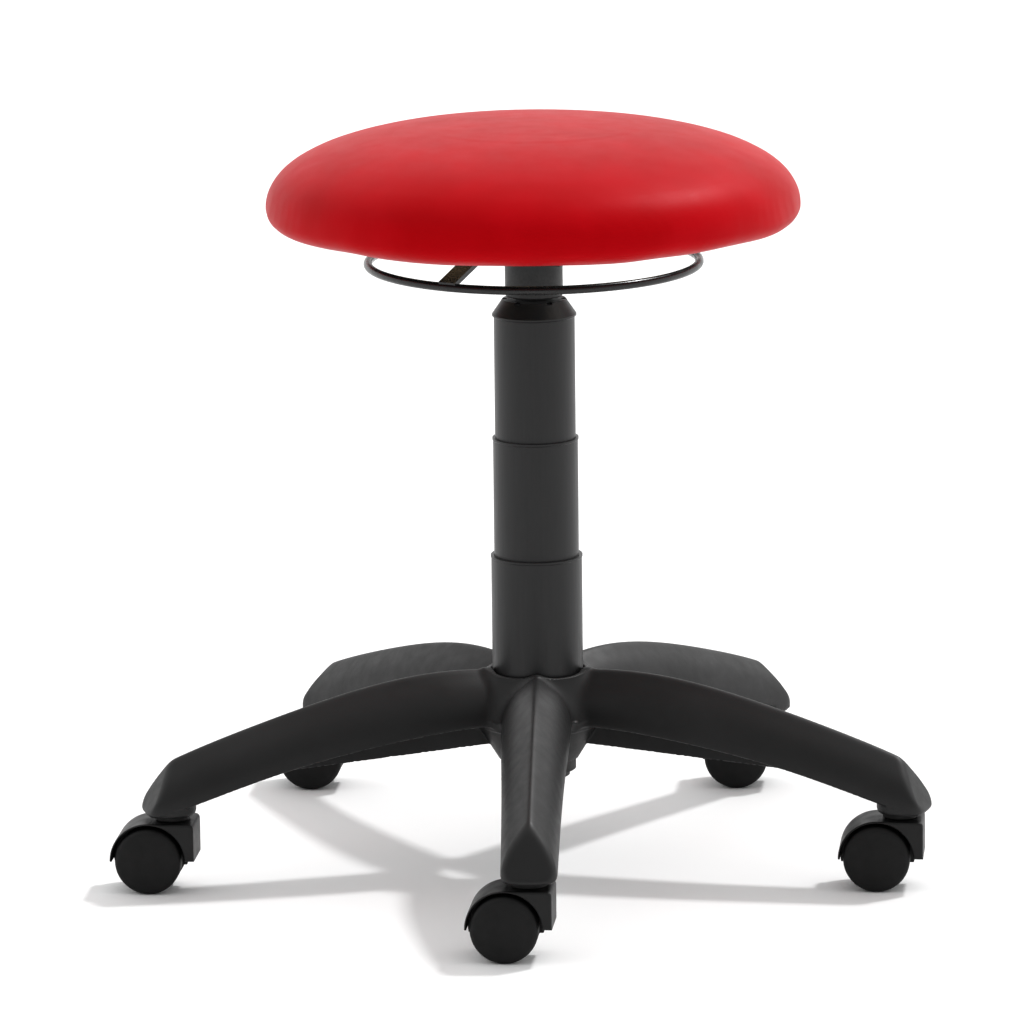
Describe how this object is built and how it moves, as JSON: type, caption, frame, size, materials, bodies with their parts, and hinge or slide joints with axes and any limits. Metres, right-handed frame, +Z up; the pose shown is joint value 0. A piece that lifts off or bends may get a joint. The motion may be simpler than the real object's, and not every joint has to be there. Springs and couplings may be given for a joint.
{
  "type": "rolling stylist stool",
  "caption": "Height-adjustable rolling stool with a round padded seat, a ring release lever, a telescopic column cover and a five-legged castor base.",
  "frame": {"origin": "on the floor under the centre of the column", "axes": "+Z up, one leg points straight along -Y, castors trail towards -X"},
  "size_m": [0.6179, 0.5683, 0.567],
  "materials": {
    "base_nylon": "satin black moulded nylon",
    "castor_nylon": "satin black moulded nylon",
    "wheel_nylon": "matt black moulded nylon",
    "cover_plastic": "satin black extruded plastic",
    "bush_plastic": "acetal",
    "black_steel": "black powder coat",
    "ring_steel": "semi-gloss black paint",
    "socket_steel": "dark grey satin paint",
    "zinc_steel": "zinc plated",
    "bright_steel": "ground",
    "rubber_black": "matt",
    "plywood": "birch plywood",
    "red_vinyl": "fine-grained red vinyl, soft gloss",
    "seat_foam": "open-cell foam",
    "dust_cloth": "black non-woven cloth"
  },
  "bodies": {
    "base": {"star_base": "base_nylon", "hub_insert": "black_steel", "stem_sleeves": "zinc_steel", "castor_stems": "black_steel", "grip_rings": "zinc_steel", "column_tube": "black_steel", "guide_bush": "bush_plastic", "lower_race": "bright_steel", "cover_lower": "cover_plastic"},
    "rod": {"piston_rod": "bright_steel", "piston": "bright_steel", "piston_seal": "rubber_black", "upper_race": "bright_steel", "rod_bumper": "rubber_black", "rod_washer": "zinc_steel", "rod_clip": "zinc_steel"},
    "bearing_cage": {"ball_cage": "bush_plastic", "bearing_balls": "bright_steel"},
    "seat_lift": {"gas_cylinder": "black_steel", "cylinder_gland": "bush_plastic", "gland_seal": "rubber_black", "valve_body": "bush_plastic", "cover_upper": "cover_plastic", "mount_pan": "black_steel", "taper_socket": "socket_steel", "seat_board": "plywood", "tee_nuts": "zinc_steel", "board_screws": "zinc_steel", "screw_washers": "zinc_steel", "seat_cover": "red_vinyl", "seat_foam": "seat_foam", "dust_cloth": "dust_cloth", "cover_staples": "zinc_steel"},
    "cover_stage": {"cover_middle": "cover_plastic"},
    "lever": {"release_ring": "ring_steel", "release_bar": "ring_steel"},
    "valve": {"valve_pin": "bright_steel"},
    "castor_1": {"castor_1_hood": "castor_nylon", "castor_1_axle": "zinc_steel"},
    "castor_1_near": {"castor_1_wheel_near": "wheel_nylon"},
    "castor_1_far": {"castor_1_wheel_far": "wheel_nylon"},
    "castor_2": {"castor_2_hood": "castor_nylon", "castor_2_axle": "zinc_steel"},
    "castor_2_near": {"castor_2_wheel_near": "wheel_nylon"},
    "castor_2_far": {"castor_2_wheel_far": "wheel_nylon"},
    "castor_3": {"castor_3_hood": "castor_nylon", "castor_3_axle": "zinc_steel"},
    "castor_3_near": {"castor_3_wheel_near": "wheel_nylon"},
    "castor_3_far": {"castor_3_wheel_far": "wheel_nylon"},
    "castor_4": {"castor_4_hood": "castor_nylon", "castor_4_axle": "zinc_steel"},
    "castor_4_near": {"castor_4_wheel_near": "wheel_nylon"},
    "castor_4_far": {"castor_4_wheel_far": "wheel_nylon"},
    "castor_5": {"castor_5_hood": "castor_nylon", "castor_5_axle": "zinc_steel"},
    "castor_5_near": {"castor_5_wheel_near": "wheel_nylon"},
    "castor_5_far": {"castor_5_wheel_far": "wheel_nylon"}
  },
  "joints": [
    {"name": "seat_swivel", "type": "hinge", "parent": "base", "child": "rod", "pos_m": [0, 0, 0.083], "axis": [0, 0, 1], "continuous": true},
    {"name": "cage_roll", "type": "hinge", "parent": "base", "child": "bearing_cage", "pos_m": [0, 0, 0.079], "axis": [0, 0, 1], "continuous": true},
    {"name": "seat_height", "type": "slide", "parent": "rod", "child": "seat_lift", "axis": [0, 0, 1], "range_m": [-0.13, 0]},
    {"name": "cover_slide", "type": "slide", "parent": "base", "child": "cover_stage", "axis": [0, 0, 1], "range_m": [-0.065, 0]},
    {"name": "lever_tilt", "type": "hinge", "parent": "seat_lift", "child": "lever", "pos_m": [-0.02469, -0.04491, 0.4815], "axis": [-0.8763, 0.4818, 0], "range_deg": [0, 2.8]},
    {"name": "valve_press", "type": "slide", "parent": "seat_lift", "child": "valve", "axis": [0, 0, 1], "range_m": [-0.003, 0]},
    {"name": "castor_1_swivel", "type": "hinge", "parent": "base", "child": "castor_1", "pos_m": [0, -0.287, 0.054], "axis": [0, 0, 1], "continuous": true},
    {"name": "castor_1_near_spin", "type": "hinge", "parent": "castor_1", "child": "castor_1_near", "pos_m": [-0.01696, -0.28581, 0.025], "axis": [0.0698, 0.9976, 0], "continuous": true},
    {"name": "castor_1_far_spin", "type": "hinge", "parent": "castor_1", "child": "castor_1_far", "pos_m": [-0.01696, -0.28581, 0.025], "axis": [0.0698, 0.9976, 0], "continuous": true},
    {"name": "castor_2_swivel", "type": "hinge", "parent": "base", "child": "castor_2", "pos_m": [0.27295, -0.08869, 0.054], "axis": [0, 0, 1], "continuous": true},
    {"name": "castor_2_near_spin", "type": "hinge", "parent": "castor_2", "child": "castor_2_near", "pos_m": [0.25599, -0.0875, 0.025], "axis": [0.0698, 0.9976, 0], "continuous": true},
    {"name": "castor_2_far_spin", "type": "hinge", "parent": "castor_2", "child": "castor_2_far", "pos_m": [0.25599, -0.0875, 0.025], "axis": [0.0698, 0.9976, 0], "continuous": true},
    {"name": "castor_3_swivel", "type": "hinge", "parent": "base", "child": "castor_3", "pos_m": [0.16869, 0.23219, 0.054], "axis": [0, 0, 1], "continuous": true},
    {"name": "castor_3_near_spin", "type": "hinge", "parent": "castor_3", "child": "castor_3_near", "pos_m": [0.15174, 0.23337, 0.025], "axis": [0.0698, 0.9976, 0], "continuous": true},
    {"name": "castor_3_far_spin", "type": "hinge", "parent": "castor_3", "child": "castor_3_far", "pos_m": [0.15174, 0.23337, 0.025], "axis": [0.0698, 0.9976, 0], "continuous": true},
    {"name": "castor_4_swivel", "type": "hinge", "parent": "base", "child": "castor_4", "pos_m": [-0.16869, 0.23219, 0.054], "axis": [0, 0, 1], "continuous": true},
    {"name": "castor_4_near_spin", "type": "hinge", "parent": "castor_4", "child": "castor_4_near", "pos_m": [-0.18565, 0.23337, 0.025], "axis": [0.0698, 0.9976, 0], "continuous": true},
    {"name": "castor_4_far_spin", "type": "hinge", "parent": "castor_4", "child": "castor_4_far", "pos_m": [-0.18565, 0.23337, 0.025], "axis": [0.0698, 0.9976, 0], "continuous": true},
    {"name": "castor_5_swivel", "type": "hinge", "parent": "base", "child": "castor_5", "pos_m": [-0.27295, -0.08869, 0.054], "axis": [0, 0, 1], "continuous": true},
    {"name": "castor_5_near_spin", "type": "hinge", "parent": "castor_5", "child": "castor_5_near", "pos_m": [-0.28991, -0.0875, 0.025], "axis": [0.0698, 0.9976, 0], "continuous": true},
    {"name": "castor_5_far_spin", "type": "hinge", "parent": "castor_5", "child": "castor_5_far", "pos_m": [-0.28991, -0.0875, 0.025], "axis": [0.0698, 0.9976, 0], "continuous": true}
  ],
  "couplings": [
    {"joint": "cage_roll", "follows": "seat_swivel", "ratio": 0.5},
    {"joint": "cover_slide", "follows": "seat_height", "ratio": 0.5},
    {"joint": "valve_press", "follows": "lever_tilt", "m_per_rad": -0.05125}
  ]
}
